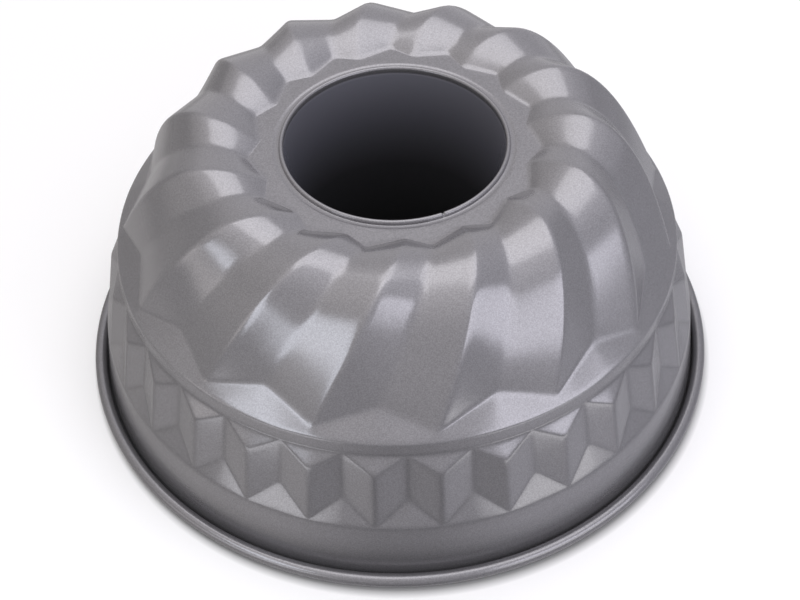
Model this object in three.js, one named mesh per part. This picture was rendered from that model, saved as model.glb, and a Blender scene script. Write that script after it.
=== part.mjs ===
// Kugelhopf mould of coated sheet steel, shown upside down: mouth down on its rolled rim.
// Lengths are in millimetres, +Z is up, the axis of the mould is Z and the rim's foot is at Z = 0.
import * as THREE from "three";

// Sheet steel, and the clearance where two pieces meet.
const SHEET = 0.6;
const GAP = 0.3;

// Repeats around the axis.
const FLUTES = 15;
const COLUMNS_PER_FLUTE = 4;
const FLUTE_PHASE_DEG = 12.9;

// Plain skirt and the flare that runs into the rim.
const SKIRT_TOP_RADIUS = 104.9;
const SKIRT_TOP_HEIGHT = 20.1;
const SKIRT_FOOT_RADIUS = 106.3;
const SKIRT_FOOT_HEIGHT = 9.4;
const FLARE_WIDTH = 8.7;
const FLARE_PULL_WIDTH = 2.7;
const FLARE_PULL_HEIGHT = 5.2;
const FLARE_PULL_RADIUS = SKIRT_FOOT_RADIUS + FLARE_PULL_WIDTH;
const RIM_RADIUS = SKIRT_FOOT_RADIUS + FLARE_WIDTH;

// Rolled rim: the sheet turns outward and up into a bead around a wire.
const BEAD_RADIUS = 2.3;
const BEAD_CENTRE_RADIUS = RIM_RADIUS - BEAD_RADIUS;
const CURL_INSIDE_RADIUS = BEAD_RADIUS - SHEET;
const CURL_TURN_DEG = 270;
const FOOT_WIDTH = 1.4;
const WIRE_RADIUS = CURL_INSIDE_RADIUS - GAP;

// Band of upright prisms: a ridge on every second column, a valley on the columns between.
const BAND_TOP_RADIUS = 99.4;
const BAND_RISE = 33.2;
const PRISM_RIDGE_TOP_RADIUS = 102.5;
const PRISM_RIDGE_RISE = 25.9;
const PRISM_VALLEY_FOOT_RADIUS = 101.6;
const PRISM_VALLEY_RISE = 12.1;
const BAND_TOP_HEIGHT = SKIRT_TOP_HEIGHT + BAND_RISE;
const PRISM_RIDGE_TOP_HEIGHT = SKIRT_TOP_HEIGHT + PRISM_RIDGE_RISE;
const PRISM_VALLEY_FOOT_HEIGHT = SKIRT_TOP_HEIGHT + PRISM_VALLEY_RISE;

// Ring edge above the band.
const RING_RADIUS = 98.8;
const RING_RISE = 5;
const RING_HEIGHT = BAND_TOP_HEIGHT + RING_RISE;

// Height of the flat land around the hole, which sets the height of the mould.
const LAND_HEIGHT = 96.3;

// Ridge of a flute, from its tip above the ring over the crown to the land.
// A rise is above the ring at the tip, and above the land at the crown.
const RIDGE_TIP_RADIUS = 96.6;
const RIDGE_TIP_RISE = 2.4;
const RIDGE_PULL_LOW_RADIUS = 85.9;
const RIDGE_PULL_LOW_DROP = 7.6;
const RIDGE_PULL_HIGH_RADIUS = 73;
const RIDGE_PULL_HIGH_RISE = 18.9;
const RIDGE_LAND_RADIUS = 45.5;

// Valley of a flute, from its foot above the ring over the crown to the land.
const VALLEY_FOOT_RADIUS = 90.3;
const VALLEY_FOOT_RISE = 8.1;
const VALLEY_PULL_LOW_RADIUS = 82.6;
const VALLEY_PULL_LOW_DROP = 10.2;
const VALLEY_PULL_HIGH_RADIUS = 67.2;
const VALLEY_PULL_HIGH_RISE = 12.2;
const VALLEY_LAND_RADIUS = 50;

// Turn of the flutes: ridge tip to ridge top, and valley to ridge at the foot and at the land.
const FLUTE_SWIRL_DEG = 20.5;
const VALLEY_FOOT_LEAD_DEG = 12.6;
const VALLEY_LAND_LEAD_DEG = 9.6;

// Shallow seat in the land for the lip of the tube.
const SEAT_DEPTH = 0.4;
const SEAT_MARGIN = 0.6;
const SEAT_STEP = 0.4;

// Centre tube: tapered, hooked over the collar of the hole and locked by a bead under the land.
const TUBE_MOUTH_RADIUS = 37.6;
const TUBE_FREE_END_RADIUS = 29.6;
const TUBE_FREE_END_HEIGHT = 5;
const LIP_RISE = 1.1;
const LIP_HEIGHT = LAND_HEIGHT + LIP_RISE;
const LOCK_BEAD_DEPTH = 0.9;
const LOCK_BEAD_LENGTH = 2;

// Sizes that follow from the ones above.
const RIDGE_TIP = new THREE.Vector2(RIDGE_TIP_RADIUS, RING_HEIGHT + RIDGE_TIP_RISE);
const RIDGE_PULL_LOW = new THREE.Vector2(RIDGE_PULL_LOW_RADIUS, LAND_HEIGHT - RIDGE_PULL_LOW_DROP);
const RIDGE_PULL_HIGH = new THREE.Vector2(RIDGE_PULL_HIGH_RADIUS, LAND_HEIGHT + RIDGE_PULL_HIGH_RISE);
const VALLEY_FOOT = new THREE.Vector2(VALLEY_FOOT_RADIUS, RING_HEIGHT + VALLEY_FOOT_RISE);
const VALLEY_PULL_LOW = new THREE.Vector2(VALLEY_PULL_LOW_RADIUS, LAND_HEIGHT - VALLEY_PULL_LOW_DROP);
const VALLEY_PULL_HIGH = new THREE.Vector2(VALLEY_PULL_HIGH_RADIUS, LAND_HEIGHT + VALLEY_PULL_HIGH_RISE);
const SEAT_HEIGHT = LAND_HEIGHT - SEAT_DEPTH;
const TUBE_OUTSIDE_RADIUS = TUBE_MOUTH_RADIUS + SHEET;
const COLLAR_INSIDE_RADIUS = TUBE_OUTSIDE_RADIUS + GAP;
const COLLAR_OUTSIDE_RADIUS = COLLAR_INSIDE_RADIUS + SHEET;
const COLLAR_TOP_HEIGHT = LIP_HEIGHT - SHEET - GAP;
const LIP_LEG_INSIDE_RADIUS = COLLAR_OUTSIDE_RADIUS + GAP;
const LIP_OUTSIDE_RADIUS = LIP_LEG_INSIDE_RADIUS + SHEET;
const LIP_LEG_FOOT_HEIGHT = SEAT_HEIGHT + GAP;
const SEAT_RADIUS = LIP_OUTSIDE_RADIUS + SEAT_MARGIN;
const LOCK_BEAD_TOP_HEIGHT = SEAT_HEIGHT - SHEET - GAP;
const LOCK_BEAD_FOOT_HEIGHT = LOCK_BEAD_TOP_HEIGHT - LOCK_BEAD_LENGTH;

// Fineness of the facets.
const FLUTE_STEPS = 11;
const FLARE_STEPS = 4;
const CURL_STEPS = 9;
const WIRE_SIDES = 8;
const BEAD_STEPS = 4;

const COLUMNS = FLUTES * COLUMNS_PER_FLUTE;
const COLUMN_TURN = (2 * Math.PI) / COLUMNS;
const FLUTE_PHASE = THREE.MathUtils.degToRad(FLUTE_PHASE_DEG);

// A point of the sheet given by radius, height and angle from the flute's own first column.
const point = (radius, height, angle) => ({ radius, height, angle });

// One row that is a plain circle.
function circleRow(radius, height) {
  return (column) => point(radius, height, column * COLUMN_TURN);
}

// One row of the prism band: ridge columns and valley columns alternate.
function prismRow(ridgeRadius, valleyRadius, height) {
  return (column) => {
    const radius = column % 2 === 0 ? ridgeRadius : valleyRadius;
    return point(radius, height, column * COLUMN_TURN);
  };
}

// Radius at a height on the straight line between two points of a wall.
function radiusBetween(height, topRadius, topHeight, footRadius, footHeight) {
  const share = (topHeight - height) / (topHeight - footHeight);
  return THREE.MathUtils.lerp(topRadius, footRadius, share);
}

const ridgeCurve = new THREE.CubicBezierCurve(
  RIDGE_TIP,
  RIDGE_PULL_LOW,
  RIDGE_PULL_HIGH,
  new THREE.Vector2(RIDGE_LAND_RADIUS, LAND_HEIGHT),
);
const valleyCurve = new THREE.CubicBezierCurve(
  VALLEY_FOOT,
  VALLEY_PULL_LOW,
  VALLEY_PULL_HIGH,
  new THREE.Vector2(VALLEY_LAND_RADIUS, LAND_HEIGHT),
);

// Ridge line of a flute: share 0 at its tip above the ring, 1 at the land.
function ridgePoint(share) {
  const place = ridgeCurve.getPoint(share);
  const angle = share * THREE.MathUtils.degToRad(FLUTE_SWIRL_DEG);
  return point(place.x, place.y, angle);
}

// Valley line of a flute, which leads the ridge by an angle that shrinks toward the land.
function valleyPoint(share) {
  const place = valleyCurve.getPoint(share);
  const lead = THREE.MathUtils.lerp(VALLEY_FOOT_LEAD_DEG, VALLEY_LAND_LEAD_DEG, share);
  const angle = THREE.MathUtils.degToRad(share * FLUTE_SWIRL_DEG + lead);
  return point(place.x, place.y, angle);
}

// One row of the flutes: ridge, middle of the flank, valley, middle of the other flank.
function fluteRow(share) {
  const ridge = ridgePoint(share);
  const valley = valleyPoint(share);
  const fluteTurn = COLUMNS_PER_FLUTE * COLUMN_TURN;
  return (column) => {
    const inFlute = column % COLUMNS_PER_FLUTE;
    const turn = Math.floor(column / COLUMNS_PER_FLUTE) * fluteTurn;
    if (inFlute === 0) {
      return point(ridge.radius, ridge.height, turn + ridge.angle);
    }
    if (inFlute === 2) {
      return point(valley.radius, valley.height, turn + valley.angle);
    }
    const nextRidge = inFlute === 1 ? ridge.angle : ridge.angle + fluteTurn;
    return point(
      (ridge.radius + valley.radius) / 2,
      (ridge.height + valley.height) / 2,
      turn + (nextRidge + valley.angle) / 2,
    );
  };
}

// Rows of the sheet's outer side, from the collar of the hole down to the end of the curl.
function shellRows() {
  const rows = [];
  rows.push(circleRow(COLLAR_OUTSIDE_RADIUS, COLLAR_TOP_HEIGHT));
  rows.push(circleRow(COLLAR_OUTSIDE_RADIUS, SEAT_HEIGHT));
  rows.push(circleRow(SEAT_RADIUS, SEAT_HEIGHT));
  rows.push(circleRow(SEAT_RADIUS + SEAT_STEP, LAND_HEIGHT));
  for (let step = FLUTE_STEPS; step >= 0; step -= 1) {
    rows.push(fluteRow(step / FLUTE_STEPS));
  }
  rows.push(circleRow(RING_RADIUS, RING_HEIGHT));
  rows.push(circleRow(BAND_TOP_RADIUS, BAND_TOP_HEIGHT));
  const valleyAtRidgeTop = radiusBetween(
    PRISM_RIDGE_TOP_HEIGHT,
    BAND_TOP_RADIUS,
    BAND_TOP_HEIGHT,
    PRISM_VALLEY_FOOT_RADIUS,
    PRISM_VALLEY_FOOT_HEIGHT,
  );
  rows.push(prismRow(PRISM_RIDGE_TOP_RADIUS, valleyAtRidgeTop, PRISM_RIDGE_TOP_HEIGHT));
  const ridgeAtValleyFoot = radiusBetween(
    PRISM_VALLEY_FOOT_HEIGHT,
    PRISM_RIDGE_TOP_RADIUS,
    PRISM_RIDGE_TOP_HEIGHT,
    SKIRT_TOP_RADIUS,
    SKIRT_TOP_HEIGHT,
  );
  rows.push(prismRow(ridgeAtValleyFoot, PRISM_VALLEY_FOOT_RADIUS, PRISM_VALLEY_FOOT_HEIGHT));
  rows.push(circleRow(SKIRT_TOP_RADIUS, SKIRT_TOP_HEIGHT));
  const slope = (SKIRT_FOOT_RADIUS - SKIRT_TOP_RADIUS) / (SKIRT_TOP_HEIGHT - SKIRT_FOOT_HEIGHT);
  const pullRadius = SKIRT_FOOT_RADIUS + slope * (SKIRT_FOOT_HEIGHT - FLARE_PULL_HEIGHT);
  const flare = new THREE.CubicBezierCurve(
    new THREE.Vector2(SKIRT_FOOT_RADIUS, SKIRT_FOOT_HEIGHT),
    new THREE.Vector2(pullRadius, FLARE_PULL_HEIGHT),
    new THREE.Vector2(FLARE_PULL_RADIUS, SHEET),
    new THREE.Vector2(BEAD_CENTRE_RADIUS - FOOT_WIDTH, SHEET),
  );
  for (let step = 0; step <= FLARE_STEPS; step += 1) {
    const place = flare.getPoint(step / FLARE_STEPS);
    rows.push(circleRow(place.x, place.y));
  }
  for (let step = 0; step <= CURL_STEPS; step += 1) {
    const turn = THREE.MathUtils.degToRad((CURL_TURN_DEG * step) / CURL_STEPS);
    const radius = BEAD_CENTRE_RADIUS + CURL_INSIDE_RADIUS * Math.sin(turn);
    const height = BEAD_RADIUS - CURL_INSIDE_RADIUS * Math.cos(turn);
    rows.push(circleRow(radius, height));
  }
  return rows;
}

// Triangles of a grid whose rows close around the axis. Each square is cut along the crease
// that joins its even column below to its odd column above.
function gridTriangles(rowCount) {
  const triangles = [];
  for (let row = 0; row < rowCount - 1; row += 1) {
    for (let column = 0; column < COLUMNS; column += 1) {
      const next = (column + 1) % COLUMNS;
      const a = row * COLUMNS + column;
      const b = row * COLUMNS + next;
      const c = (row + 1) * COLUMNS + next;
      const d = (row + 1) * COLUMNS + column;
      if (column % 2 === 0) {
        triangles.push([a, d, b], [b, d, c]);
      } else {
        triangles.push([a, d, c], [a, c, b]);
      }
    }
  }
  return triangles;
}

// Angle of a triangle at its first corner.
function cornerAngle(corner, second, third) {
  return second.clone().sub(corner).angleTo(third.clone().sub(corner));
}

// Sheet of even thickness behind a grid of points: the grid, its offset and the two cut edges.
function sheetGeometry(rows, thickness) {
  const outer = [];
  for (const row of rows) {
    for (let column = 0; column < COLUMNS; column += 1) {
      const place = row(column);
      const angle = FLUTE_PHASE + place.angle;
      const x = place.radius * Math.cos(angle);
      const y = place.radius * Math.sin(angle);
      outer.push(new THREE.Vector3(x, y, place.height));
    }
  }
  const triangles = gridTriangles(rows.length);
  const corners = outer.map(() => []);
  for (const [a, b, c] of triangles) {
    const normal = new THREE.Triangle(outer[a], outer[b], outer[c]).getNormal(new THREE.Vector3());
    corners[a].push({ normal, angle: cornerAngle(outer[a], outer[b], outer[c]) });
    corners[b].push({ normal, angle: cornerAngle(outer[b], outer[c], outer[a]) });
    corners[c].push({ normal, angle: cornerAngle(outer[c], outer[a], outer[b]) });
  }
  const inner = outer.map((place, index) => {
    const mean = new THREE.Vector3();
    let whole = 0;
    for (const { normal, angle } of corners[index]) {
      mean.addScaledVector(normal, angle);
      whole += angle;
    }
    const mitre = whole / mean.length();
    return place.clone().addScaledVector(mean.normalize(), -thickness * mitre);
  });
  const count = outer.length;
  const faces = [];
  for (const [a, b, c] of triangles) {
    faces.push(a, b, c);
    faces.push(count + a, count + c, count + b);
  }
  const last = count - COLUMNS;
  for (let column = 0; column < COLUMNS; column += 1) {
    const next = (column + 1) % COLUMNS;
    faces.push(column, next, count + next, column, count + next, count + column);
    const a = last + column;
    const b = last + next;
    faces.push(b, a, count + a, b, count + a, count + b);
  }
  const geometry = new THREE.BufferGeometry();
  const numbers = outer.concat(inner).flatMap((place) => place.toArray());
  geometry.setAttribute("position", new THREE.Float32BufferAttribute(numbers, 3));
  geometry.setIndex(faces);
  geometry.computeVertexNormals();
  return geometry;
}

// Outline of the tube's wall on one side, from the free end up to the lock bead.
function tubeWallRadius(height) {
  return radiusBetween(
    height,
    TUBE_MOUTH_RADIUS,
    LOCK_BEAD_FOOT_HEIGHT,
    TUBE_FREE_END_RADIUS,
    TUBE_FREE_END_HEIGHT,
  );
}

// Section of the centre tube as one closed outline of radius and height.
function tubeOutline() {
  const outside = [];
  const inside = [];
  outside.push(new THREE.Vector2(TUBE_FREE_END_RADIUS + SHEET, TUBE_FREE_END_HEIGHT));
  inside.push(new THREE.Vector2(TUBE_FREE_END_RADIUS, TUBE_FREE_END_HEIGHT));
  for (let step = 0; step <= BEAD_STEPS; step += 1) {
    const share = step / BEAD_STEPS;
    const height = LOCK_BEAD_FOOT_HEIGHT + share * LOCK_BEAD_LENGTH;
    const bulge = LOCK_BEAD_DEPTH * Math.sin(share * Math.PI);
    outside.push(new THREE.Vector2(TUBE_OUTSIDE_RADIUS + bulge, height));
    inside.push(new THREE.Vector2(TUBE_MOUTH_RADIUS + bulge, height));
  }
  const soft = SHEET / 2;
  outside.push(new THREE.Vector2(TUBE_OUTSIDE_RADIUS, LIP_HEIGHT - SHEET));
  outside.push(new THREE.Vector2(LIP_LEG_INSIDE_RADIUS, LIP_HEIGHT - SHEET));
  outside.push(new THREE.Vector2(LIP_LEG_INSIDE_RADIUS, LIP_LEG_FOOT_HEIGHT));
  outside.push(new THREE.Vector2(LIP_OUTSIDE_RADIUS, LIP_LEG_FOOT_HEIGHT));
  outside.push(new THREE.Vector2(LIP_OUTSIDE_RADIUS, LIP_HEIGHT - soft));
  outside.push(new THREE.Vector2(LIP_OUTSIDE_RADIUS - soft, LIP_HEIGHT));
  outside.push(new THREE.Vector2(TUBE_MOUTH_RADIUS + soft, LIP_HEIGHT));
  inside.push(new THREE.Vector2(TUBE_MOUTH_RADIUS, LIP_HEIGHT - soft));
  const outline = outside.concat(inside.reverse());
  outline.push(outline[0].clone());
  return outline;
}

// Lathe outlines turn about Y, so the result is stood up on Z.
function turned(outline) {
  const geometry = new THREE.LatheGeometry(outline, COLUMNS, FLUTE_PHASE);
  geometry.rotateX(Math.PI / 2);
  return geometry;
}

function part(name, geometry, colour, roughness, metalness) {
  const material = new THREE.MeshStandardMaterial({ color: colour, roughness, metalness });
  const mesh = new THREE.Mesh(geometry, material);
  mesh.name = name;
  return mesh;
}

const shell = part("mould_shell", sheetGeometry(shellRows(), SHEET), 0x85858b, 0.42, 0.75);
const tube = part("centre_tube", turned(tubeOutline()), 0x7a7a82, 0.42, 0.75);
const wireGeometry = new THREE.TorusGeometry(BEAD_CENTRE_RADIUS, WIRE_RADIUS, WIRE_SIDES, COLUMNS);
wireGeometry.rotateZ(FLUTE_PHASE);
wireGeometry.translate(0, 0, BEAD_RADIUS);
const wire = part("rim_wire", wireGeometry, 0x9a9a9a, 0.5, 0.9);

const mould = new THREE.Group();
mould.name = "kugelhopf_mould";
mould.add(shell, tube, wire);

export default mould;
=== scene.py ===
# %% [markdown]
# # A fluted cake mould in coated sheet steel
# The mould is shown upside down, standing on its rolled rim, as on a shop's product page.
# Its solid model, model.glb, is in metres, with the axis on Z and the rim's foot at Z = 0.
# This lesson dresses that model: it rebuilds the sheet finely enough for its creases to catch
# the light, gives it a satin coat, and lights it like a small studio table.

import math

import bmesh
import bpy
import numpy as np
from mathutils import Matrix, Vector


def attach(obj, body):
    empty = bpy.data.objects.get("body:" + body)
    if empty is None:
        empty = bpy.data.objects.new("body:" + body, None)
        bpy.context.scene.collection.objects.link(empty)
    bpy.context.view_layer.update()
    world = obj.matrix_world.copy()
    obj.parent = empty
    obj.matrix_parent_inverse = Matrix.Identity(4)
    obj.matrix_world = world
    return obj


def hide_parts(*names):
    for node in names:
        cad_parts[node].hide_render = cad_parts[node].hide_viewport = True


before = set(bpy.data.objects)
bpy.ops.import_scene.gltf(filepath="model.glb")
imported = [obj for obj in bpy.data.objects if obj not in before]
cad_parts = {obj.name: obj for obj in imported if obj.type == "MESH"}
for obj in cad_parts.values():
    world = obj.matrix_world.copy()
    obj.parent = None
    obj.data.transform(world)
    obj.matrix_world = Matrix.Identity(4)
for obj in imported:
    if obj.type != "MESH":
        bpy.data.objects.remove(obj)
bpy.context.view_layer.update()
print("nodes:", sorted(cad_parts))

# %% [markdown]
# ## Where the picture was taken from
# The camera looks down on the mould at about 48 degrees, a little off level. A camera is placed
# by the point it aims at, its distance and its height angle, which is easier to adjust than a
# raw location. The long lens keeps the rim's ellipse gentle, as in the photograph.

# %% Camera
AIM_POINT = Vector((0.0005, 0.0072, 0.0088))
CAMERA_DISTANCE = 0.6094
CAMERA_ELEVATION = math.radians(47.95)
CAMERA_ROLL = math.radians(-1.44)
LENS_MM = 72.0
SENSOR_MM = 36.0

forward = Vector((0, math.cos(CAMERA_ELEVATION), -math.sin(CAMERA_ELEVATION)))
level_right = Vector((1, 0, 0))
level_up = level_right.cross(forward)
tilted_right = math.cos(CAMERA_ROLL) * level_right + math.sin(CAMERA_ROLL) * level_up
tilted_up = math.cos(CAMERA_ROLL) * level_up - math.sin(CAMERA_ROLL) * level_right

camera_data = bpy.data.cameras.new("table_camera")
camera_data.sensor_width = SENSOR_MM
camera_data.lens = LENS_MM
camera = bpy.data.objects.new("table_camera", camera_data)
bpy.context.scene.collection.objects.link(camera)
camera_axes = Matrix((tilted_right, tilted_up, -forward)).transposed()
camera.matrix_world = camera_axes.to_4x4()
camera.location = AIM_POINT - CAMERA_DISTANCE * forward
bpy.context.scene.camera = camera
print("camera at, mm:", [round(1000 * value) for value in camera.location])

# %% [markdown]
# ## Sizes of the pressed sheet
# The mould is one drawn sheet of steel. Its sizes are given in millimetres, because they read
# more easily than metres, and a length becomes metres only when a mesh is written. They repeat
# those of the solid model. Only the lower wall and the tube's lip are set a little closer to
# the photograph than the solids are.

# %% Sizes
MM = 0.001
SHEET = 0.6
WELD_GAP = 0.01
FLUTES = 15
FLUTE_TURN = 2 * math.pi / FLUTES
QUARTER_TURN = FLUTE_TURN / 4
PHASE = math.radians(12.9)

RIDGE_CURVE = np.array([(96.6, 60.7), (85.9, 88.7), (73.0, 115.2), (45.5, 96.3)])
VALLEY_CURVE = np.array([(90.3, 66.4), (82.6, 86.1), (67.2, 108.5), (50.0, 96.3)])
SWIRL = math.radians(20.5)
VALLEY_FOOT_LEAD = math.radians(12.6)
VALLEY_LAND_LEAD = math.radians(9.6)
LAND_HEIGHT = 96.3
print("flutes:", FLUTES, "each", round(math.degrees(FLUTE_TURN)), "degrees wide")

# %% [markdown]
# ## One flute as ridge and valley lines
# A flute is folded, not waved: a ridge line and a valley line climb from the ring over the
# crown to the flat land, turning as they go, with flat flanks between. Each line is a cubic
# curve in radius and height, plus a turn about the axis. Points of the lines are kept as X, Y
# and Z, so that a flank between them is a straight chord.

# %% Ridge and valley lines
def along_curve(curve, share):
    """Point of a cubic curve with four control points, `share` of the way along."""
    rest = 1 - share
    weights = (rest**3, 3 * share * rest**2, 3 * share**2 * rest, share**3)
    return sum(weight * point for weight, point in zip(weights, curve))


def round_point(radius, height, angle):
    turned = PHASE + angle
    return np.array((radius * math.cos(turned), radius * math.sin(turned), height))


def ridge_point(share, flute):
    radius, height = along_curve(RIDGE_CURVE, share)
    return round_point(radius, height, flute * FLUTE_TURN + share * SWIRL)


def valley_point(share, flute):
    radius, height = along_curve(VALLEY_CURVE, share)
    lead = VALLEY_FOOT_LEAD + share * (VALLEY_LAND_LEAD - VALLEY_FOOT_LEAD)
    return round_point(radius, height, flute * FLUTE_TURN + share * SWIRL + lead)


crown = max(ridge_point(share, 0)[2] for share in np.linspace(0, 1))
print("ridge line's top before easing, mm:", round(crown, 1))

# %% [markdown]
# ## Folds with a small radius
# A press can't fold a coated sheet to a knife edge. Every fold is eased by replacing its corner
# with a short parabola of a given reach, which never takes up the whole flank. The same helper
# eases the flutes, which fold twice in a flute's turn, and the prism band below, which folds
# four times.

# %% Eased folds
LONGEST_REACH = 0.45
RIDGE_REACH = 1.5
VALLEY_REACH = 1.8


def eased_fold(corners, first_place, spacing, reaches, place):
    """Point at `place` on the folded line through `corners`, which sit `spacing` apart."""
    at = (place - first_place) / spacing
    index = min(max(int(round(at)), 1), len(corners) - 2)
    offset = at - index
    corner = corners[index]
    before = corners[index - 1] - corner
    after = corners[index + 1] - corner
    reach = reaches[index % len(reaches)]
    back = min(reach / np.linalg.norm(before), LONGEST_REACH)
    ahead = min(reach / np.linalg.norm(after), LONGEST_REACH)
    if offset <= -back:
        return corner - offset * before
    if offset >= ahead:
        return corner + offset * after
    blend = 0.5 * (1 + (offset / back if offset < 0 else offset / ahead))
    start, end = corner + back * before, corner + ahead * after
    return (1 - blend) ** 2 * start + 2 * blend * (1 - blend) * corner + blend**2 * end


def flute_row(share):
    corners = [valley_point(share, -1), ridge_point(share, 0), valley_point(share, 0)]
    corners += [ridge_point(share, 1), valley_point(share, 1)]
    reaches = (VALLEY_REACH, RIDGE_REACH)
    return lambda place: eased_fold(corners, -2, 2, reaches, place)


print("a flank's middle on the land's edge:", np.round(flute_row(1.0)(1.0), 1))

# %% [markdown]
# ## The band of prisms, the skirt and the rim
# Below the ring the sheet is folded into upright prisms. Two zigzag folds bound them: the upper
# one joins the tops of the ridges to the ring, the lower one joins their feet to the skirt. The
# skirt is plain, flares at its foot, and is rolled outward and up into the rim.

# %% Rows of the lower wall
BAND_TOP = (99.0, 52.85)
RING_EDGE = (98.8, 58.3)
PRISM_RIDGE_TOP = (103.15, 46.7)
PRISM_VALLEY_FOOT = (102.65, 34.5)
SKIRT_TOP = (107.3, 24.0)
SKIRT_FOOT = (109.1, 8.6)
PRISM_REACH = 1.8


def circle_row(radius, height):
    return lambda place: round_point(radius, height, place * QUARTER_TURN)


def prism_row(ridge, valley):
    corners = []
    for place in range(-1, 6):
        radius, height = ridge if place % 2 == 0 else valley
        corners.append(round_point(radius, height, place * QUARTER_TURN))
    return lambda place: eased_fold(corners, -1, 1, (PRISM_REACH,), place)


upper_fold = prism_row(PRISM_RIDGE_TOP, BAND_TOP)
lower_fold = prism_row(SKIRT_TOP, PRISM_VALLEY_FOOT)
print("prism ridge, top and foot, mm:", PRISM_RIDGE_TOP, SKIRT_TOP)

# %% [markdown]
# ## Easing a chain of corners
# Down the sheet, the rows meet at corners of every angle. Easing them by a radius each would
# need a lot of cases, so a chain is eased by averaging it along its own length with a bell
# curve. Flat runs stay flat, corners soften, and a ledge longer than the bell stays a ledge.

# %% Eased chain
FINE_STEP = 0.05
BELL_REACH = 4


def even_shares(count, crowding=0.0):
    """Shares from 0 to just under 1, crowded toward both ends."""
    steps = np.arange(count) / count
    return steps - crowding * np.sin(2 * math.pi * steps) / (2 * math.pi)


def eased_chain(corners, counts, ease, crowding):
    """Points along the chain, `counts` of them on each piece, with its corners averaged out."""
    corners = np.array(corners, dtype=float)
    lengths = np.linalg.norm(np.diff(corners, axis=0), axis=1)
    ends = np.concatenate(([0.0], np.cumsum(lengths)))
    reach = BELL_REACH * ease
    lead_in = corners[0] + (corners[0] - corners[1]) * reach / lengths[0]
    lead_out = corners[-1] + (corners[-1] - corners[-2]) * reach / lengths[-1]
    chain = np.vstack((lead_in, corners, lead_out))
    marks = np.concatenate(([-reach], ends, [ends[-1] + reach]))
    fine = np.arange(-reach, ends[-1] + reach, FINE_STEP)
    spread = np.arange(-reach, reach + FINE_STEP / 2, FINE_STEP)
    bell = np.exp(-0.5 * (spread / ease) ** 2)
    bell /= bell.sum()
    stops = []
    for start, length, count in zip(ends, lengths, counts):
        stops.extend(start + length * even_shares(count, crowding))
    eased = []
    for axis in range(corners.shape[1]):
        path = np.interp(fine, marks, chain[:, axis])
        eased.append(np.interp(stops, fine, np.convolve(path, bell, mode="same")))
    return np.stack(eased, axis=1)


print("an eased corner:", np.round(eased_chain([(0, 0), (5, 0), (5, 5)], (2, 2), 0.4, 0)[2], 2))

# %% [markdown]
# ## One column of the sheet, from the hole to the skirt
# A column runs down the sheet at one place of the flute. It starts at the collar that stands
# round the hole, crosses the seat and the flat land, climbs over the crown along the flute, and
# falls past the ledge, the ring and the prisms to the foot of the skirt. The plan pairs each
# row with the number of points from it to the next one.

# %% Columns
COLLAR = (38.7, 96.6)
SEAT_HEIGHT = 96.05
SEAT_RADIUS = 40.8
SEAT_STEP = 0.3
CORNER_EASE = 0.45
ROW_CROWDING = 0.6
FLUTE_ROWS = 32
FLUTE_CROWDING = 0.35
ROW_PLAN = [
    (circle_row(*COLLAR), 2),
    (circle_row(COLLAR[0], SEAT_HEIGHT), 3),
    (circle_row(SEAT_RADIUS, SEAT_HEIGHT), 4),
    (circle_row(SEAT_RADIUS + SEAT_STEP, LAND_HEIGHT), 7),
]
ROW_PLAN += [(flute_row(share), 1) for share in 1 - even_shares(FLUTE_ROWS, FLUTE_CROWDING)]
ROW_PLAN += [
    (flute_row(0.0), 7),
    (circle_row(*RING_EDGE), 6),
    (circle_row(*BAND_TOP), 6),
    (upper_fold, 9),
    (lower_fold, 7),
    (circle_row(*SKIRT_TOP), 5),
]


def eased_column(place):
    corners = [row(place) for row, count in ROW_PLAN]
    corners.append(circle_row(*SKIRT_FOOT)(place))
    counts = [count for row, count in ROW_PLAN]
    return eased_chain(corners, counts, CORNER_EASE, ROW_CROWDING)


print("rows down to the skirt's foot:", len(eased_column(0.0)))

# %% [markdown]
# ## The flare and the curl
# The foot of the skirt turns outward in one sweep and runs on into the rolled rim. The rim is a
# circle in section, so its points come from sine and cosine, not from averaging, which would
# shrink it. The sheet's outer face ends up inside the curl.

# %% Flare and curl
RIM_RADIUS = 115.0
BEAD_RADIUS = 2.3
BEAD_CENTRE = RIM_RADIUS - BEAD_RADIUS
CURL_INSIDE = BEAD_RADIUS - SHEET
CURL_TURN = math.radians(270)
CURL_ROWS = 19
FOOT_WIDTH = 1.7
FLARE_STEPS = 9
FLARE_PULL = (109.8, 2.6)
FLARE_PULL_HEIGHT = 5.0
FLARE_END = (110.2, 1.2)
curl_turns = np.linspace(0, CURL_TURN, CURL_ROWS)


def rim_profile():
    """Radius and height of each row, from the skirt's foot to the end of the curl."""
    slope = (SKIRT_FOOT[0] - SKIRT_TOP[0]) / (SKIRT_TOP[1] - SKIRT_FOOT[1])
    pull = SKIRT_FOOT[0] + slope * (SKIRT_FOOT[1] - FLARE_PULL_HEIGHT)
    flare = np.array([SKIRT_FOOT, (pull, FLARE_PULL_HEIGHT), FLARE_PULL, FLARE_END])
    points = [along_curve(flare, step / FLARE_STEPS) for step in range(FLARE_STEPS + 1)]
    points.append((BEAD_CENTRE - FOOT_WIDTH, SHEET))
    for turn in curl_turns:
        radius = BEAD_CENTRE + CURL_INSIDE * math.sin(turn)
        points.append((radius, BEAD_RADIUS - CURL_INSIDE * math.cos(turn)))
    return points


RIM_PROFILE = rim_profile()


def whole_column(place):
    lower = [round_point(radius, height, place * QUARTER_TURN) for radius, height in RIM_PROFILE]
    return np.vstack((eased_column(place), lower))


print("rows in a whole column:", len(whole_column(0.0)))

# %% [markdown]
# ## One flute's share of the sheet
# Columns crowd together at the folds, where the surface turns quickly. The back of the sheet is
# the same grid moved inward along its normals, so the wall has one thickness. At the two side
# edges a normal has to count the neighbouring flute as well, or the joints would show.

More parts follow.
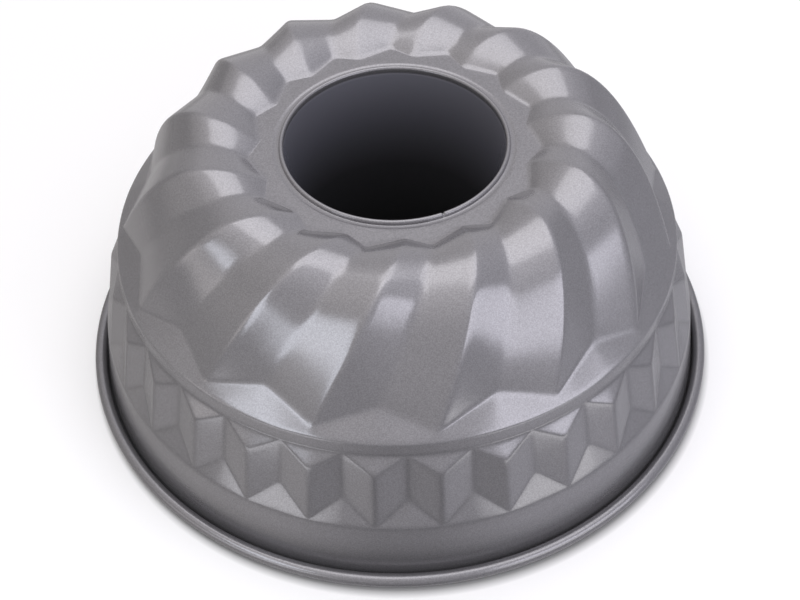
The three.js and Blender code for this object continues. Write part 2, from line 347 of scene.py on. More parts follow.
# %% Outer and inner grid of a flute
FOLD_SHARES = (0.0, 0.05, 0.13, 0.32, 0.68, 0.87, 0.95)
PLACES = [quarter + share for quarter in range(4) for share in FOLD_SHARES] + [4.0]
SHORTEST_NORMAL = 1e-12


def turn_about_axis(points, angle):
    cosine, sine = math.cos(angle), math.sin(angle)
    x = points[..., 0] * cosine - points[..., 1] * sine
    y = points[..., 0] * sine + points[..., 1] * cosine
    return np.stack((x, y, points[..., 2]), axis=-1)


def grid_normals(grid):
    """Normals of a rows-by-columns grid, summed from the faces round each point."""
    normals = np.zeros_like(grid)
    a, b = grid[:-1, :-1], grid[:-1, 1:]
    d, c = grid[1:, :-1], grid[1:, 1:]
    face = np.cross(c - a, b - d)
    for rows in (slice(0, -1), slice(1, None)):
        for columns in (slice(0, -1), slice(1, None)):
            normals[rows, columns] += face
    return normals


def unit(vectors):
    lengths = np.linalg.norm(vectors, axis=-1, keepdims=True)
    return vectors / np.maximum(lengths, SHORTEST_NORMAL)


def sector_grids():
    outer = np.stack([whole_column(place) for place in PLACES], axis=1)
    normals = grid_normals(outer)
    seam = normals[:, 0] + turn_about_axis(normals[:, -1], -FLUTE_TURN)
    normals[:, 0] = seam
    normals[:, -1] = turn_about_axis(seam, FLUTE_TURN)
    return outer, outer - SHEET * unit(normals)


outer_grid, inner_grid = sector_grids()
row_count, column_count = outer_grid.shape[:2]
print("one flute:", row_count, "rows,", column_count, "columns")

# %% [markdown]
# The two grids become one mesh: quads on both faces, joined along the collar's edge and the end
# of the curl. The sides stay open, because the next flute is welded on there. Writing the faces
# by hand keeps all of them quads that point outward.

# %% The flute sector mesh
def sheet_faces(rows, columns):
    """Quads of a sheet whose points are an outer grid followed by its inner grid."""
    faces = []
    back = rows * columns
    for row in range(rows - 1):
        for column in range(columns - 1):
            a = row * columns + column
            b, d = a + 1, a + columns
            c = d + 1
            faces.append((a, d, c, b))
            faces.append((back + a, back + b, back + c, back + d))
    last = (rows - 1) * columns
    for column in range(columns - 1):
        a, b = column, column + 1
        faces.append((a, b, back + b, back + a))
        a, b = last + column, last + column + 1
        faces.append((b, a, back + a, back + b))
    return faces


def new_object(name, points, faces):
    """An object from points in millimetres."""
    mesh = bpy.data.meshes.new(name)
    mesh.from_pydata((np.asarray(points) * MM).tolist(), [], faces)
    mesh.update()
    made = bpy.data.objects.new(name, mesh)
    bpy.context.scene.collection.objects.link(made)
    return made


sector_points = np.vstack((outer_grid.reshape(-1, 3), inner_grid.reshape(-1, 3)))
flute_sector = new_object("flute_sector", sector_points, sheet_faces(row_count, column_count))
print("quads in one flute:", len(flute_sector.data.polygons))

# %% [markdown]
# ## Painted shade on the folds, in the slot and on the rim
# In the photograph the folds of the prism band show as soft dark lines, and the narrow slot
# above the rim is dark too. That shade is painted into the coat's colour. Such a line follows
# the shape, so it is stored with the mesh: an attribute that is highest on a fold and fades a
# millimetre away. The rolled rim gets painted shade as well, most on the side that turns to the
# slot. The coat's material reads the attribute later.

# %% Painted shade on the folds
FOLD_LINE_WIDTH = 1.05
FOLD_MARK = 0.68
SLOT_HEIGHTS = (2.5, 5.0, 9.0, 12.0, 18.0)
SLOT_MARKS = (0.35, 0.95, 1.5, 0.7, 0.0)
RIM_TURNS = (160, 250)
RIM_MARKS = (0.47, 1.55)
LOWER_FOLDS = {
    "band": circle_row(*BAND_TOP),
    "upper": upper_fold,
    "lower": lower_fold,
    "skirt": circle_row(*SKIRT_TOP),
}


def painted_fold_shade(place, column):
    """How much painted shade each point of a column gets, on a fold or in the slot above the rim.
    """
    corners = {name: row(place) for name, row in LOWER_FOLDS.items()}
    gaps = [np.linalg.norm(column - corner, axis=1) for corner in corners.values()]
    nearest = np.min(gaps, axis=0)
    fold_gap = abs(place - round(place)) * QUARTER_TURN * PRISM_RIDGE_TOP[0]
    on_prism = (column[:, 2] < corners["upper"][2]) & (column[:, 2] > corners["lower"][2])
    nearest = np.where(on_prism, np.minimum(nearest, fold_gap), nearest)
    # Painted shade in the slot above the rim, set by height.
    in_slot = np.interp(column[:, 2], SLOT_HEIGHTS, SLOT_MARKS)
    return np.maximum(in_slot, FOLD_MARK * np.exp(-((nearest / FOLD_LINE_WIDTH) ** 2)))


columns = zip(PLACES, outer_grid.transpose(1, 0, 2))
outer_marks = np.stack([painted_fold_shade(place, column) for place, column in columns], axis=1)
inner_marks = np.zeros_like(outer_marks)
# Painted shade on the rim's inner side, most where it turns to the slot.
rim_marks = np.interp(curl_turns, np.radians(RIM_TURNS), RIM_MARKS)
inner_marks[-CURL_ROWS:] = rim_marks[:, None]
marks = np.concatenate((outer_marks.ravel(), inner_marks.ravel()))
# The painted shade is stored as a point attribute for the coat to read.
painted_shade_attribute = flute_sector.data.attributes.new("painted_fold_shade", "FLOAT", "POINT")
painted_shade_attribute.data.foreach_set("value", marks)
print("marks from", round(marks.min(), 2), "to", round(marks.max(), 2))

# %% [markdown]
# ## A few node helpers
# Materials and the room are node trees. Small helpers keep their code short: one adds a node
# and feeds its inputs, and the others add a sum or product, a change of range, a fade from 1 to
# 0, a mix of two colours and a colour ramp.

# %% Small node helpers
def add_node(tree, kind, feeds):
    """A node whose named inputs are set to values or fed by other nodes' outputs."""
    node = tree.nodes.new(kind)
    for label, value in feeds.items():
        if isinstance(value, bpy.types.NodeSocket):
            tree.links.new(value, node.inputs[label])
        else:
            node.inputs[label].default_value = value
    return node


def math_node(tree, operation, *values):
    """A Math node fed by numbers or by other nodes' outputs."""
    node = tree.nodes.new("ShaderNodeMath")
    node.operation = operation
    for socket, value in zip(node.inputs, values):
        if isinstance(value, bpy.types.NodeSocket):
            tree.links.new(value, socket)
        else:
            socket.default_value = value
    return node.outputs["Value"]


def range_node(tree, source, span, low, high):
    """`low` at the start of `span`, `high` at its end, and the same beyond them."""
    feeds = {"Value": source, "To Min": low, "To Max": high}
    feeds["From Min"], feeds["From Max"] = span
    return add_node(tree, "ShaderNodeMapRange", feeds).outputs["Result"]


def fade_node(tree, source, full, none):
    """1 up to `full`, falling to 0 at `none`."""
    return range_node(tree, source, (full, none), 1.0, 0.0)


def mix_node(tree, share, first, second, blend="MIX"):
    """Mixes two colours, each given as numbers or as a node's output."""
    node = tree.nodes.new("ShaderNodeMix")
    node.data_type = "RGBA"
    node.blend_type = blend
    for label, value in (("Factor", share), ("A", first), ("B", second)):
        socket = [item for item in node.inputs if item.name == label and item.enabled][0]
        if isinstance(value, bpy.types.NodeSocket):
            tree.links.new(value, socket)
        else:
            socket.default_value = value if label == "Factor" else (*value, 1)
    return [item for item in node.outputs if item.enabled][0]


def ramp_node(tree, source, stops):
    """A colour ramp through pairs of place and colour, in the order of their places."""
    node = add_node(tree, "ShaderNodeValToRGB", {"Fac": source})
    elements = node.color_ramp.elements
    while len(elements) < len(stops):
        elements.new(0.5)
    for element, (place, colour) in zip(elements, stops):
        element.position = place
        element.color = (*colour, 1)
    return node.outputs["Color"]


helpers = (add_node, math_node, range_node, fade_node, mix_node, ramp_node)
print("helpers:", [helper.__name__ for helper in helpers])

# %% [markdown]
# Two more helpers deal with places and directions: one gives the X, Y and Z of a point on a
# piece or of a direction into the room, and the other finds a wedge of directions about the
# axis. The cards and the room use the wedge.

# %% Helpers for places and directions
def axes_node(tree, coordinates="Object"):
    place = tree.nodes.new("ShaderNodeTexCoord")
    parts = add_node(tree, "ShaderNodeSeparateXYZ", {"Vector": place.outputs[coordinates]})
    return parts.outputs


def sector_node(tree, axes, azimuth, span):
    """1 within the first angle of `span` from a compass angle, 0 beyond the second."""
    cosine, sine = math.cos(math.radians(azimuth)), math.sin(math.radians(azimuth))
    along = math_node(tree, "MULTIPLY", axes["X"], cosine)
    along = math_node(tree, "MULTIPLY_ADD", axes["Y"], sine, along)
    across = math_node(tree, "MULTIPLY", axes["Y"], cosine)
    across = math_node(tree, "MULTIPLY_ADD", axes["X"], -sine, across)
    off = math_node(tree, "ABSOLUTE", math_node(tree, "ARCTAN2", across, along))
    return fade_node(tree, off, math.radians(span[0]), math.radians(span[1]))


print("helpers:", [helper.__name__ for helper in (axes_node, sector_node)])

# %% [markdown]
# ## The satin coat
# The finish looks like a grey non-stick coat with fine metal flakes. Close up it has two
# textures: flakes less than half a millimetre wide that sparkle at the edge of a reflection,
# and a slight orange peel about three times as wide. Faint clouds vary the gloss. Both the
# shell and the tube carry the coat, so the textures live in one shader node group with named
# inputs.

# %% The coat's texture as a node group
COAT_NOISES = {
    "Flake": {"scale": 2300.0, "detail": 1.0},
    "Peel": {"scale": 700.0, "detail": 2.0},
    "Cloud": {"scale": 45.0, "detail": 3.0},
}


def add_socket(tree, name, direction, kind, value=None):
    socket = tree.interface.new_socket(name, in_out=direction, socket_type=kind)
    if value is not None:
        socket.default_value = value


def coat_texture_group():
    tree = bpy.data.node_groups.new("coat_texture", "ShaderNodeTree")
    for name, noise in COAT_NOISES.items():
        add_socket(tree, name + " Scale", "INPUT", "NodeSocketFloat", noise["scale"])
    for name in ("Flakes", "Height", "Cloud"):
        add_socket(tree, name, "OUTPUT", "NodeSocketFloat")
    inputs = tree.nodes.new("NodeGroupInput").outputs
    outputs = tree.nodes.new("NodeGroupOutput").inputs
    place = tree.nodes.new("ShaderNodeTexCoord").outputs["Object"]
    shades = {}
    for name, noise in COAT_NOISES.items():
        feeds = {"Vector": place, "Scale": inputs[name + " Scale"], "Detail": noise["detail"]}
        shades[name] = add_node(tree, "ShaderNodeTexNoise", feeds).outputs["Fac"]
    height = math_node(tree, "ADD", shades["Flake"], shades["Peel"])
    tree.links.new(shades["Flake"], outputs["Flakes"])
    tree.links.new(height, outputs["Height"])
    tree.links.new(shades["Cloud"], outputs["Cloud"])
    return tree


coat_texture = coat_texture_group()
print("coat texture sockets:", [item.name for item in coat_texture.interface.items_tree])

# %% [markdown]
# ## Two coats from one texture
# The flakes vary the colour and tilt the surface through a bump, and the clouds vary the
# roughness a little. Where the mesh is marked, painted shade darkens the colour. The values
# that are the same all over, such as the metallic share, are set on the shader itself.

# %% Coat materials
COAT_DARK = (0.25, 0.244, 0.258)
COAT_LIGHT = (0.335, 0.328, 0.346)
BLACK = (0.0, 0.0, 0.0)
COAT_METALLIC = 0.63
ROUGHNESS_SWING = 0.02
FLAKE_HEIGHT = 0.04
FOLD_SHADE = 0.28
NOISE_SPAN = (0.3, 0.7)


def new_material(name):
    """A node material, with its tree and its shader."""
    material = bpy.data.materials.new(name)
    material.use_nodes = True
    return material, material.node_tree, material.node_tree.nodes["Principled BSDF"]


def coat_colour(tree, texture):
    """Two tones mixed by the flakes, with painted shade where the mesh is marked."""
    flakes = range_node(tree, texture.outputs["Flakes"], NOISE_SPAN, 0.0, 1.0)
    colour = mix_node(tree, flakes, COAT_DARK, COAT_LIGHT)
    # Painted shade: where the mesh is marked, the colour is mixed toward black.
    fold = tree.nodes.new("ShaderNodeAttribute")
    fold.attribute_name = "painted_fold_shade"
    shade = math_node(tree, "MULTIPLY", fold.outputs["Fac"], FOLD_SHADE)
    return mix_node(tree, shade, colour, BLACK)


def coat_material(name, roughness, bump):
    """A satin coat with a roughness of its own and flakes that tilt the surface by `bump`."""
    material, tree, shader = new_material(name)
    shader.inputs["Metallic"].default_value = COAT_METALLIC
    texture = tree.nodes.new("ShaderNodeGroup")
    texture.node_tree = coat_texture
    tree.links.new(coat_colour(tree, texture), shader.inputs["Base Color"])
    low, high = roughness - ROUGHNESS_SWING, roughness + ROUGHNESS_SWING
    rough = range_node(tree, texture.outputs["Cloud"], NOISE_SPAN, low, high)
    tree.links.new(rough, shader.inputs["Roughness"])
    feeds = {"Strength": bump, "Distance": FLAKE_HEIGHT * MM, "Height": texture.outputs["Height"]}
    relief = add_node(tree, "ShaderNodeBump", feeds)
    tree.links.new(relief.outputs["Normal"], shader.inputs["Normal"])
    return material


shell_coat = coat_material("satin_shell", roughness=0.2, bump=0.28)
tube_coat = coat_material("satin_tube", roughness=0.24, bump=0.45)
print("coats:", shell_coat.name, tube_coat.name)

# %% [markdown]
# ## Painted shade inside the tube
# The coat covers the lip, but in the photograph the inside of the tube is much darker, and
# more so with depth, than shade alone makes it, so further shade is painted into the colour.
# The height above the table picks the darker tone through a colour ramp, and the metallic share
# falls as well, so that the inside mirrors less.

# %% Paint shade inside the tube
# Painted shade: tones of the tube's inside by height, darker further down.
INSIDE_SHADE_TONES = (
    (20.0, (0.03, 0.03, 0.03)), (55.0, (0.05, 0.05, 0.055)), (78.0, (0.14, 0.14, 0.168)),
    (94.4, (0.2, 0.2, 0.235)),
)
INSIDE_METALLIC = 0.25
LIP_START = (94.4, 95.7)


def paint_inside_shade(material):
    """Below the lip the coat gets painted shade, deeper further down, and is less metallic."""
    tree = material.node_tree
    shader = tree.nodes["Principled BSDF"]
    height = axes_node(tree)["Z"]
    inside = fade_node(tree, height, LIP_START[0] * MM, LIP_START[1] * MM)
    depth = fade_node(tree, height, 0.0, LIP_START[0] * MM)
    stops = [(1 - level / LIP_START[0], tone) for level, tone in reversed(INSIDE_SHADE_TONES)]
    coated = shader.inputs["Base Color"].links[0].from_socket
    colour = mix_node(tree, inside, coated, ramp_node(tree, depth, stops))
    tree.links.new(colour, shader.inputs["Base Color"])
    lost = math_node(tree, "MULTIPLY", inside, COAT_METALLIC - INSIDE_METALLIC)
    metallic = math_node(tree, "SUBTRACT", COAT_METALLIC, lost)
    tree.links.new(metallic, shader.inputs["Metallic"])


paint_inside_shade(tube_coat)
print("tones inside the tube:", len(INSIDE_SHADE_TONES))

# %% [markdown]
# ## The shell: one flute repeated about the axis
# The whole shell follows one rule, so a Geometry Nodes tree repeats the flute: points for the
# flutes, an instance of the sector turned on each, the joints welded, and the coat set.

# %% Flute ring tree
def flute_ring_tree():
    tree = bpy.data.node_groups.new("flute_ring", "GeometryNodeTree")
    add_socket(tree, "Flute", "INPUT", "NodeSocketGeometry")
    add_socket(tree, "Flute Count", "INPUT", "NodeSocketInt", FLUTES)
    add_socket(tree, "Flute Turn", "INPUT", "NodeSocketFloat", FLUTE_TURN)
    add_socket(tree, "Weld Distance", "INPUT", "NodeSocketFloat", WELD_GAP * MM)
    add_socket(tree, "Coat", "INPUT", "NodeSocketMaterial")
    add_socket(tree, "Shell", "OUTPUT", "NodeSocketGeometry")
    inputs = tree.nodes.new("NodeGroupInput").outputs
    outputs = tree.nodes.new("NodeGroupOutput").inputs
    feeds = {"Count": inputs["Flute Count"], "Offset": (0, 0, 0)}
    points = add_node(tree, "GeometryNodeMeshLine", feeds)
    index = tree.nodes.new("GeometryNodeInputIndex").outputs["Index"]
    angle = math_node(tree, "MULTIPLY", index, inputs["Flute Turn"])
    euler = add_node(tree, "ShaderNodeCombineXYZ", {"Z": angle}).outputs["Vector"]
    rotation = add_node(tree, "FunctionNodeEulerToRotation", {"Euler": euler})
    feeds = {"Points": points.outputs["Mesh"], "Instance": inputs["Flute"]}
    feeds["Rotation"] = rotation.outputs["Rotation"]
    flutes = add_node(tree, "GeometryNodeInstanceOnPoints", feeds).outputs["Instances"]
    steps = (
        ("GeometryNodeRealizeInstances", {}),
        ("GeometryNodeMergeByDistance", {"Distance": inputs["Weld Distance"]}),
        ("GeometryNodeSetShadeSmooth", {}),
        ("GeometryNodeSetMaterial", {"Material": inputs["Coat"]}),
    )
    for kind, more in steps:
        flutes = add_node(tree, kind, {"Geometry": flutes, **more}).outputs["Geometry"]
    tree.links.new(flutes, outputs["Shell"])
    return tree


flute_ring = flute_ring_tree()
print("flute ring sockets:", [item.name for item in flute_ring.interface.items_tree])

# %% [markdown]
# The tree is run as a modifier on the sector. Its inputs are set by their identifiers, and the
# result becomes a plain mesh, because the export needs real faces. The sector has then done
# its work and is removed.

# %% The shell
def run_tree(base, tree, values, name):
    """Puts a tree on an object, sets its named inputs and returns the result as a plain mesh."""
    modifier = base.modifiers.new("tree", "NODES")
    modifier.node_group = tree
    sockets = {item.name: item for item in tree.interface.items_tree if item.in_out == "INPUT"}
    for label, value in values.items():
        modifier[sockets[label].identifier] = value
    result = base.evaluated_get(bpy.context.evaluated_depsgraph_get())
    mesh = bpy.data.meshes.new_from_object(result)
    base.modifiers.remove(modifier)
    made = bpy.data.objects.new(name, mesh)
    mesh.name = name
    bpy.context.scene.collection.objects.link(made)
    return made


ring_values = {
    "Flute Count": FLUTES,
    "Flute Turn": FLUTE_TURN,
    "Weld Distance": WELD_GAP * MM,
    "Coat": shell_coat,
}
shell = run_tree(flute_sector, flute_ring, ring_values, "pressed_shell")
bpy.data.objects.remove(flute_sector)
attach(shell, "root")
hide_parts("mould_shell")
shell_triangles = sum(len(face.vertices) - 2 for face in shell.data.polygons)
print("shell triangles:", shell_triangles)

# %% [markdown]
# ## The centre tube and its hooked lip
# The tube is a tapered chimney of thinner sheet. Its end is hooked over the collar of the hole,
# which makes the raised lip, and a pressed groove just below locks it. The profile is a chain
# of points, eased as the shell's columns are: up the wall, through the groove, over the lip.

# %% Tube profile
TUBE_MOUTH = 37.6
TUBE_FREE_END = (29.6, 5.0)
TUBE_SHEET = 0.4
LIP_MIDDLE = 38.4
LIP_HALF_WIDTH = LIP_MIDDLE - TUBE_MOUTH
LIP_FOOT = 96.35
LIP_RISE = 1.05
LIP_LEG_FOOT = 96.2
LIP_EASE = 0.08
GROOVE_TOP = 95.8
GROOVE_LENGTH = 1.7
GROOVE_DEPTH = 0.18
GROOVE_FOOT = GROOVE_TOP - GROOVE_LENGTH
WALL_ROWS = 12
GROOVE_STEPS = 12
NECK_ROWS = 4
LIP_STEPS = 16
LEG_ROWS = 2


def tube_face(inset):
    """One face of the tube's sheet, from the free end up the inside, over the lip and down."""
    chain = [(TUBE_FREE_END[0] + inset, TUBE_FREE_END[1])]
    wall = TUBE_MOUTH + inset
    for step in range(GROOVE_STEPS + 1):
        bulge = GROOVE_DEPTH * math.sin(math.pi * step / GROOVE_STEPS) ** 2
        chain.append((wall + bulge, GROOVE_FOOT + GROOVE_LENGTH * step / GROOVE_STEPS))
    for step in range(LIP_STEPS + 1):
        turn = math.pi * step / LIP_STEPS
        radius = LIP_MIDDLE - (LIP_HALF_WIDTH - inset) * math.cos(turn)
        chain.append((radius, LIP_FOOT + (LIP_RISE - inset) * math.sin(turn)))
    chain.append((LIP_MIDDLE + LIP_HALF_WIDTH - inset, LIP_LEG_FOOT))
    counts = [WALL_ROWS] + [1] * GROOVE_STEPS + [NECK_ROWS] + [1] * LIP_STEPS + [LEG_ROWS]
    return np.vstack((eased_chain(chain, counts, LIP_EASE, 0.0), chain[-1:]))


seen_profile = tube_face(0.0)
hidden_profile = tube_face(TUBE_SHEET)
print("tube profile points:", len(seen_profile), "top, mm:", round(seen_profile[:, 1].max(), 2))

# %% [markdown]
# A tube is closed from a flat blank, so it has a long seam. The profile is turned about the
# axis, and its columns crowd at that seam, where the lip dips into a small nick and the wall
# steps by part of the sheet's thickness, as if its two edges overlapped.

# %% Columns of the tube
TUBE_COLUMNS = 180
SEAM_ANGLE = math.radians(-66.8)
SEAM_WIDTH = 5.0
SEAM_STEP = 0.3
SEAM_EDGE = 0.1
SEAM_FADE = 4.0
SEAM_SPACING = 0.15
SEAM_REACH = 1.2
SEAM_CLEAR = (1.3, 1.4)
NICK_HALF_WIDTH = 0.6
NICK_DEPTH = 0.6
NICK_FADE = 0.8


def tube_angles():
    """Even angles round the tube, with fine ones in place of those beside the seam."""
    even = np.linspace(0, 2 * math.pi, TUBE_COLUMNS, endpoint=False)
    after, before = (clear / TUBE_MOUTH for clear in SEAM_CLEAR)
    even = even[(even > after) & (even < 2 * math.pi - before)]
    across = np.arange(-SEAM_REACH, SEAM_REACH + SEAM_SPACING / 2, SEAM_SPACING)
    far_edge = SEAM_WIDTH + SEAM_SPACING * np.array((-1, 0, 1))
    fine = np.concatenate((across, far_edge)) / TUBE_MOUTH
    return SEAM_ANGLE + np.unique(np.concatenate((even, fine % (2 * math.pi))))


def tube_point(radius, height, angle):
    """Point of the turned profile, with the nick in the lip and the step of the seam."""
    across = (angle - SEAM_ANGLE + math.pi) % (2 * math.pi) - math.pi
    across *= TUBE_MOUTH
    if height > GROOVE_TOP:
        dip = NICK_DEPTH * max(0.0, 1 - abs(across) / NICK_HALF_WIDTH)
        height -= dip * min(1.0, max(0.0, (height - LIP_LEG_FOOT) / NICK_FADE))
    else:
        edges = (-SEAM_EDGE, SEAM_EDGE, SEAM_WIDTH - SEAM_EDGE, SEAM_WIDTH + SEAM_EDGE)
        step_in = np.interp(across, edges, (0, 1, 1, 0))
        fade = min(1.0, (GROOVE_FOOT - height) / SEAM_FADE)
        radius -= SEAM_STEP * step_in * max(0.0, fade)
    return radius * math.cos(angle), radius * math.sin(angle), height


print("columns round the tube:", len(tube_angles()))

# %% [markdown]
# The faces come from the same helper as the shell's. A turned grid ends in a second copy of its
# first column, so the copies are welded. The faces are then turned outward, and the edges are
# counted: a closed sheet has no open one.

# %% The tube
def tube_grid(profile):
    angles = list(tube_angles())
    angles.append(angles[0] + 2 * math.pi)
    rows = [[tube_point(radius, height, angle) for angle in angles] for radius, height in profile]
    return np.array(rows)


def close_mesh(made):
    """Welds a seam, smooths the shading and turns the faces outward."""
    work = bmesh.new()
    work.from_mesh(made.data)
    bmesh.ops.remove_doubles(work, verts=work.verts, dist=WELD_GAP * MM)
    bmesh.ops.recalc_face_normals(work, faces=work.faces)
    for face in work.faces:
        face.smooth = True
    work.to_mesh(made.data)
    open_edges = sum(1 for edge in work.edges if len(edge.link_faces) != 2)
    volume = work.calc_volume(signed=True)
    work.free()
    return open_edges, volume


seen_grid, hidden_grid = tube_grid(seen_profile), tube_grid(hidden_profile)
tube_points = np.vstack((hidden_grid.reshape(-1, 3), seen_grid.reshape(-1, 3)))
tube = new_object("hooked_tube", tube_points, sheet_faces(*seen_grid.shape[:2]))
tube_open, tube_volume = close_mesh(tube)
tube.data.materials.append(tube_coat)
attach(tube, "root")
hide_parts("centre_tube")
print("tube open edges:", tube_open, "volume, cm3:", round(tube_volume * 1e6, 2))

# %% [markdown]
# ## The wire in the rim
# The curl is rolled around a steel wire. It is hidden, so its solid stays as it is and only
# gets a drawn-steel finish: bright, with fine uneven marks in its tone and gloss.

# %% Wire material
STEEL_DARK = (0.48, 0.48, 0.49)
STEEL_LIGHT = (0.6, 0.6, 0.61)
STEEL_ROUGHNESS = (0.3, 0.45)
STEEL_MARK_SCALE = 1500.0


def drawn_steel():
    material, tree, shader = new_material("drawn_steel")
    shader.inputs["Metallic"].default_value = 1.0
    place = tree.nodes.new("ShaderNodeTexCoord").outputs["Object"]
    feeds = {"Vector": place, "Scale": STEEL_MARK_SCALE}
    steel_marks = add_node(tree, "ShaderNodeTexNoise", feeds).outputs["Fac"]
    rough = range_node(tree, steel_marks, NOISE_SPAN, *STEEL_ROUGHNESS)
    tree.links.new(rough, shader.inputs["Roughness"])
    share = range_node(tree, steel_marks, NOISE_SPAN, 0.0, 1.0)
    colour = mix_node(tree, share, STEEL_DARK, STEEL_LIGHT)
    tree.links.new(colour, shader.inputs["Base Color"])
    return material


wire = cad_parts["rim_wire"]
wire.data.materials.clear()
wire.data.materials.append(drawn_steel())
print("wire finish:", wire.data.materials[0].name)

# %% [markdown]
# ## The white table
# The mould stands on a white table that fills the picture. In the photograph the coat mirrors
# less light from below than such a table gives, so the table is hidden from reflections, and a
# smaller square under the mould takes its place there, which keeps the tube dark. The shadow
# under the rim is tighter than large soft lamps can draw it, so its core is painted on the
# table.

# %% Table
TABLE_HALF = 3000.0
TABLE_WHITE = 0.97
TABLE_ROUGHNESS = 0.9
COVERED_HALF = 72.0
COVERED_HEIGHT = -0.1
SHADE_CENTRE = (0.7, -2.4, 0.0)
SHADE_SPAN = (112.9, 116.2)
SHADE_LEVEL = 0.37


def white_table():
    """White, and darker round the foot of the rim."""
    material, tree, shader = new_material("white_table")
    place = tree.nodes.new("ShaderNodeTexCoord")
    apart = tree.nodes.new("ShaderNodeVectorMath")
    apart.operation = "DISTANCE"
    tree.links.new(place.outputs["Object"], apart.inputs[0])
    apart.inputs[1].default_value = [MM * value for value in SHADE_CENTRE]
    near, far = SHADE_SPAN
    shade = fade_node(tree, apart.outputs["Value"], MM * near, MM * far)
    colour = mix_node(tree, shade, (TABLE_WHITE,) * 3, (TABLE_WHITE * SHADE_LEVEL,) * 3)
    tree.links.new(colour, shader.inputs["Base Color"])
    shader.inputs["Roughness"].default_value = TABLE_ROUGHNESS
    shader.inputs["Specular IOR Level"].default_value = 0.0
    return material


def flat_square(name, half, height):
    corners = [(-half, -half), (half, -half), (half, half), (-half, half)]
    points = [(x, y, height) for x, y in corners]
    made = new_object(name, points, [(0, 1, 2, 3)])
    made.data.materials.append(white_table())
    return made


table = flat_square("table_top", TABLE_HALF, 0.0)
table.visible_glossy = False
# The covered square lies wholly inside the painted shadow, so it is painted dark all over as well
# as shaded by the mould.
covered_table = flat_square("covered_table", COVERED_HALF, COVERED_HEIGHT)
print("table:", table.name, covered_table.name)

# %% [markdown]
# ## Glowing cards for reflections
# A photographer stands pale cards beside a shiny object, so that its sides have something
# bright to mirror. Two curved strips stand in front, to the left and to the right. They glow
# rather than bounce lamp light, so what the coat mirrors in them is a painted reflection. They
# count only in reflections, and they fade out at the top and at both ends, so that no card's
# edge shows in the coat.

# %% Glowing cards
CARDS = {"card_left": (-121.0, (9.0, 17.0)), "card_right": (-54.0, (11.0, 20.0))}
CARD_SIDES = 24
CARD_RADIUS = 172.0
CARD_FOOT = 4.0
CARD_TOP = (22.0, 31.0)
CARD_LEVEL = 1.5


def card_material(name, azimuth, span):
    """Glows in the middle of the strip and is clear at its top and at both ends."""
    material, tree, shader = new_material(name)
    tree.nodes.remove(shader)
    axes = axes_node(tree)
    low = fade_node(tree, axes["Z"], MM * CARD_TOP[0], MM * CARD_TOP[1])
    share = math_node(tree, "MULTIPLY", sector_node(tree, axes, azimuth, span), low)
    clear = tree.nodes.new("ShaderNodeBsdfTransparent")
    glow = add_node(tree, "ShaderNodeEmission", {"Strength": CARD_LEVEL})
    mixed = add_node(tree, "ShaderNodeMixShader", {"Fac": share})
    tree.links.new(clear.outputs["BSDF"], mixed.inputs[1])
    tree.links.new(glow.outputs["Emission"], mixed.inputs[2])
    tree.links.new(mixed.outputs["Shader"], tree.nodes["Material Output"].inputs["Surface"])
    return material


def glow_card(name, azimuth, span):
    """A glowing strip, curved about the mould, that counts only in reflections: a painted
    reflection.
    """
    points, faces = [], []
    for side in range(CARD_SIDES + 1):
        angle = math.radians(azimuth + span[1] * (2 * side / CARD_SIDES - 1))
        x, y = CARD_RADIUS * math.cos(angle), CARD_RADIUS * math.sin(angle)
        points += [(x, y, CARD_FOOT), (x, y, CARD_TOP[1])]
    for side in range(CARD_SIDES):
        faces.append((2 * side, 2 * side + 1, 2 * side + 3, 2 * side + 2))
    card = new_object(name, points, faces)
    card.data.materials.append(card_material(name, azimuth, span))
    card.visible_camera = card.visible_diffuse = card.visible_shadow = False


for card_name, (card_azimuth, card_span) in CARDS.items():
    glow_card(card_name, card_azimuth, card_span)
print("cards:", list(CARDS))

# %% [markdown]
# ## The room
# A satin coat shows its surroundings, so the room is drawn by direction: brightest overhead and
# plainer toward the horizon, a little warm at the left and a little cool at the right. A level
# is given for each height of a direction, from -1, straight down, to 1, straight up. Soft
# patches change it in some directions. Low in front it is dark, where the camera stands, which
# gives every second prism face its darker tone. The wall behind is lighter, the corners beside
# it and the floor at the left are dim, and a window stands at the left.

# %% Room
ROOM_LEVELS = (
    (-1.0, 0.55), (-0.42, 0.5), (-0.34, 0.36), (-0.17, 0.36), (-0.1, 0.46), (0.14, 0.58),
    (0.37, 0.58), (0.57, 0.65), (0.77, 0.93), (1.0, 1.3),
)
LEFT_TINT = (0.98, 0.94, 0.9)
RIGHT_TINT = (1.02, 1.02, 1.11)
NO_FOOT = (-1, -2)
ROOM_PATCHES = {
    "dark front": {
        "azimuth": -90, "span": (8, 46), "foot": NO_FOOT, "top": (-0.46, -0.38), "level": 0.21,
    },
    "back wall": {
        "azimuth": 86, "span": (16, 40), "foot": (-0.2, -0.3), "top": (0.55, 0.75), "level": 0.74,
    },
    "left corner": {
        "azimuth": 141, "span": (16, 34), "foot": (-0.08, -0.2), "top": (0.26, 0.42),
        "level": 0.34,
    },
    "right corner": {
        "azimuth": 27, "span": (18, 36), "foot": (-0.05, -0.15), "top": (0.26, 0.42),
        "level": 0.38,
    },
    "left floor": {
        "azimuth": 140, "span": (22, 45), "foot": NO_FOOT, "top": (-0.66, -0.55), "level": 0.42,
    },
    "window": {
        "azimuth": -158, "span": (6, 13), "foot": (-0.05, -0.12), "top": (0.22, 0.3),
        "level": 1.05,
    },
}


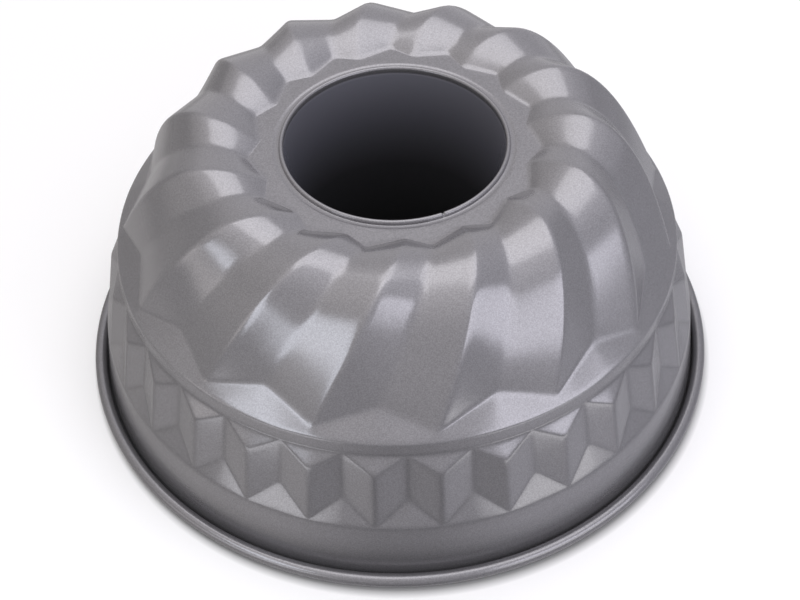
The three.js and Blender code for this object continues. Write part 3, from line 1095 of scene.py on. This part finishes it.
def studio_room():
    """A white room whose brightness depends on the direction in which it is seen."""
    world = bpy.data.worlds.new("studio_room")
    bpy.context.scene.world = world
    world.use_nodes = True
    tree = world.node_tree
    axes = axes_node(tree, "Generated")
    height = axes["Z"]
    stops = [(0.5 + 0.5 * place, (level,) * 3) for place, level in ROOM_LEVELS]
    colour = ramp_node(tree, math_node(tree, "MULTIPLY_ADD", height, 0.5, 0.5), stops)
    for patch in ROOM_PATCHES.values():
        share = sector_node(tree, axes, patch["azimuth"], patch["span"])
        for edge in ("foot", "top"):
            share = math_node(tree, "MULTIPLY", share, fade_node(tree, height, *patch[edge]))
        colour = mix_node(tree, share, colour, (patch["level"],) * 3)
    side = math_node(tree, "MULTIPLY_ADD", axes["X"], 0.5, 0.5)
    tint = mix_node(tree, side, LEFT_TINT, RIGHT_TINT)
    colour = mix_node(tree, 1.0, colour, tint, blend="MULTIPLY")
    tree.links.new(colour, tree.nodes["Background"].inputs["Color"])


studio_room()
print("room patches:", list(ROOM_PATCHES))

# %% [markdown]
# ## Soft boxes
# A large box overhead lights the land and the crown. Two small ones, low at the left and at the
# right, are what the flanks of the front flutes mirror as bright bands. A lamp's energy is
# worked out from its brightness and its area, so that a box can change size without changing
# tone. The camera doesn't see the boxes.

# %% Soft boxes
LAMP_TARGET = Vector((0, 0, 0.06))
SOFT_BOXES = {
    "box_overhead": {
        "azimuth": 67.3, "elevation": 80.2, "roll": 44, "distance": 1.665,
        "size": (1.503, 1.617), "brightness": 0.9, "tint": (1.0, 1.0, 1.0),
    },
    "box_left": {
        "azimuth": -128.6, "elevation": 16.6, "roll": 45.3, "distance": 0.24,
        "size": (0.069, 0.133), "brightness": 1.8, "tint": (0.883, 0.937, 1.0),
    },
    "box_right": {
        "azimuth": -41.4, "elevation": 16.2, "roll": -23.3, "distance": 0.486,
        "size": (0.396, 0.263), "brightness": 1.55, "tint": (0.93, 0.93, 1.0),
    },
}


def lamp_axes(azimuth, elevation, roll):
    """Sideways, upward and backward directions of a lamp that faces the mould."""
    around, above, turn = (math.radians(angle) for angle in (azimuth, elevation, roll))
    level = math.cos(above)
    away = Vector((level * math.cos(around), level * math.sin(around), math.sin(above)))
    sideways = Vector((-math.sin(around), math.cos(around), 0))
    upward = away.cross(sideways)
    x_axis = math.cos(turn) * sideways + math.sin(turn) * upward
    y_axis = math.cos(turn) * upward - math.sin(turn) * sideways
    return x_axis, y_axis, away


def soft_box(name, azimuth, elevation, roll, distance, size, brightness, tint):
    """A lamp that faces the mould from a compass angle and a height angle, in degrees."""
    lamp_data = bpy.data.lights.new(name, "AREA")
    lamp_data.shape = "RECTANGLE"
    lamp_data.size, lamp_data.size_y = size
    lamp_data.energy = brightness * math.pi * size[0] * size[1]
    lamp_data.color = tint
    lamp = bpy.data.objects.new(name, lamp_data)
    bpy.context.scene.collection.objects.link(lamp)
    axes = lamp_axes(azimuth, elevation, roll)
    lamp.matrix_world = Matrix(axes).transposed().to_4x4()
    lamp.location = LAMP_TARGET + distance * axes[2]
    lamp.visible_camera = False


for box_name, box_values in SOFT_BOXES.items():
    soft_box(box_name, **box_values)
bpy.context.scene.view_settings.view_transform = "Standard"
print("lamps:", list(SOFT_BOXES))
